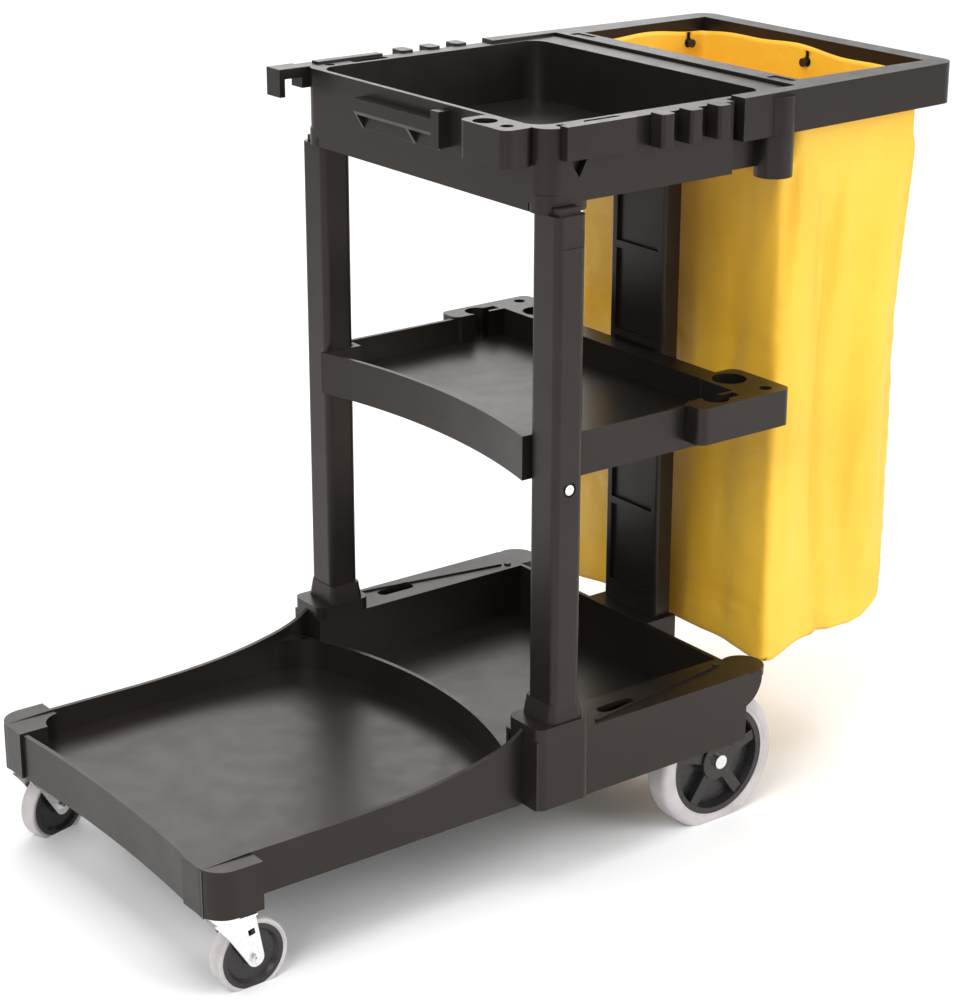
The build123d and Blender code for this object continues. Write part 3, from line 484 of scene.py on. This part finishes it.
def hang(obj):
    """Lets the cloth hang from its rim for a moment, and keeps each point near its pattern place."""
    rest = [v.co.copy() for v in obj.data.vertices]
    held = obj.vertex_groups.new(name="held")
    for v in obj.data.vertices:
        grip = smooth(shoulder_z - 40 * MM, shoulder_z, v.co.z)
        if grip > 0:
            held.add([v.index], grip, "REPLACE")
    sim = obj.modifiers.new("cloth", "CLOTH")
    s = sim.settings
    s.quality = 5
    s.mass = 0.25
    s.tension_stiffness = 30
    s.compression_stiffness = 12
    s.shear_stiffness = 10
    s.bending_stiffness = 0.4
    s.vertex_group_mass = "held"
    s.use_pressure = True
    s.uniform_pressure_force = 0.35
    sim.collision_settings.use_self_collision = False
    sim.point_cache.frame_end = CLOTH_FRAMES
    scene = bpy.context.scene
    for f in range(1, CLOTH_FRAMES + 1):
        scene.frame_set(f)
    graph = bpy.context.evaluated_depsgraph_get()
    posed = obj.evaluated_get(graph).to_mesh()
    moved = [v.co.copy() for v in posed.vertices]
    obj.modifiers.remove(sim)
    scene.frame_set(1)
    for v, a, b in zip(obj.data.vertices, rest, moved):
        d = b - a
        if d.length > CLOTH_CAP:
            d *= CLOTH_CAP / d.length
        p = a + d
        p.x = min(max(p.x, bag_lo.x + CLOTH_MARGIN), bag_hi.x - CLOTH_MARGIN)
        p.y = min(max(p.y, bag_lo.y + CLOTH_MARGIN), bag_hi.y - CLOTH_MARGIN)
        p.z = min(max(p.z, bag_lo.z + 1 * MM), cad_hi.z)
        v.co = p
    obj.vertex_groups.clear()


bag = build_bag()
hang(bag)

stud_z = (stud_lo.z + stud_hi.z) / 2


def eyelet_cutter():
    """Keyhole-shaped prisms at the studs: a round hole with a narrow slot above it."""
    # x, y, and whether the cloth there faces sideways
    places = [
        (neck_front, -FRONT_EYELET_Y, False), (neck_front, FRONT_EYELET_Y, False),
        (neck_rear, 0.0, False),
        (SIDE_EYELET_X, neck_half, True), (SIDE_EYELET_X, -neck_half, True),
    ]
    outline = []
    for i in range(25):
        a = math.radians(-240 + i * 300 / 24)
        outline.append((EYELET_RADIUS * math.cos(a), EYELET_RADIUS * math.sin(a)))
    outline += [(SLOT_HALF, SLOT_TOP), (-SLOT_HALF, SLOT_TOP)]
    bm = bmesh.new()
    for x, y, sideways in places:
        loops = []
        for depth in (-EYELET_REACH, EYELET_REACH):
            loop = []
            for u, w in outline:
                shift = Vector((u * MM, depth, 0) if sideways else (depth, u * MM, 0))
                loop.append(bm.verts.new(Vector((x, y, stud_z + w * MM)) + shift))
            loops.append(loop)
        count = len(outline)
        for i in range(count):
            k = (i + 1) % count
            bm.faces.new((loops[0][i], loops[0][k], loops[1][k], loops[1][i]))
        bm.faces.new(loops[0])
        bm.faces.new(loops[1])
    bmesh.ops.recalc_face_normals(bm, faces=bm.faces)
    mesh = bpy.data.meshes.new("eyelet_cutter")
    bm.to_mesh(mesh)
    bm.free()
    return add_object("eyelet_cutter", mesh)


thick = bag.modifiers.new("thickness", "SOLIDIFY")
thick.thickness = CLOTH_THICKNESS
thick.offset = -1
cutter = eyelet_cutter()
cut = bag.modifiers.new("eyelets", "BOOLEAN")
cut.operation = "DIFFERENCE"
cut.solver = "EXACT"
cut.object = cutter
cut.use_self = True
bpy.context.view_layer.update()
graph = bpy.context.evaluated_depsgraph_get()
final = bpy.data.meshes.new_from_object(bag.evaluated_get(graph))
bag.modifiers.clear()
bag.data = final
bpy.data.objects.remove(cutter)
shade_smooth(bag.data)
bag.data.materials.clear()
bag.data.materials.append(cloth)
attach(bag, "cart")
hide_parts("bag", "bag_hem")


# ------------------------------------------------------------------ studio
floor_mat, _, floor_shader = new_material("studio_floor")
set_inputs(floor_shader, {"Base Color": (0.90, 0.90, 0.90, 1), "Roughness": 0.85})
floor_mesh = bpy.data.meshes.new("studio_floor")
bm = bmesh.new()
# how far along the view, and how high, the floor runs before it turns up as a backdrop
profile = [(-7.0, 0.0), (3.2, 0.0), (3.9, 0.14), (4.3, 0.6), (4.5, 1.3), (4.5, 5.0)]
yaw = math.radians(CAMERA_YAW)
look = Vector((math.sin(yaw), math.cos(yaw), 0))
across = Vector((look.y, -look.x, 0))
rings = []
for along, height in profile:
    centre = look * along + Vector((0, 0, height))
    rings.append([bm.verts.new(centre + across * w) for w in (-9.0, 9.0)])
for a, b in zip(rings, rings[1:]):
    bm.faces.new((a[0], a[1], b[1], b[0]))
bm.to_mesh(floor_mesh)
bm.free()
floor = add_object("studio_floor", floor_mesh)
shade_smooth(floor_mesh)
bend = floor.modifiers.new("smooth", "SUBSURF")
bend.levels = 3
bend.render_levels = 3
floor_mesh.materials.append(floor_mat)


def softbox(name, place, target, width, height, power):
    light = bpy.data.lights.new(name, "AREA")
    light.shape = "RECTANGLE"
    light.size, light.size_y = width, height
    light.energy = power
    obj = add_object(name, light)
    obj.location = place
    obj.rotation_euler = (Vector(target) - Vector(place)).to_track_quat("-Z", "Y").to_euler()


softbox("key_left", (-3.4, -1.6, 2.9), (0, 0, 0.5), 2.2, 2.2, 100)
softbox("fill_right", (2.2, -3.6, 2.2), (0.1, 0, 0.5), 2.6, 2.2, 88)
softbox("top", (0.0, 0.0, 4.0), (0, 0, 0), 3.2, 3.2, 90)
softbox("back", (1.6, 3.4, 2.8), (0, 0, 0.6), 3.0, 2.0, 40)
world = bpy.data.worlds.new("studio")
world.use_nodes = True
set_inputs(world.node_tree.nodes["Background"], {"Color": (1, 1, 1, 1), "Strength": 0.60})
bpy.context.scene.world = world
bpy.context.scene.view_settings.view_transform = "Standard"

camera_data = bpy.data.cameras.new("camera")
camera_data.sensor_fit = "HORIZONTAL"
camera_data.sensor_width = SENSOR_WIDTH
camera_data.lens = SENSOR_WIDTH * FOCAL_SHARE
camera_data.shift_x, camera_data.shift_y = CAMERA_SHIFT
camera_data.clip_end = 60.0
camera = add_object("camera", camera_data)
camera.location = CAMERA_PLACE
camera.rotation_euler = (math.radians(90 - CAMERA_PITCH), 0, -yaw)
bpy.context.scene.camera = camera
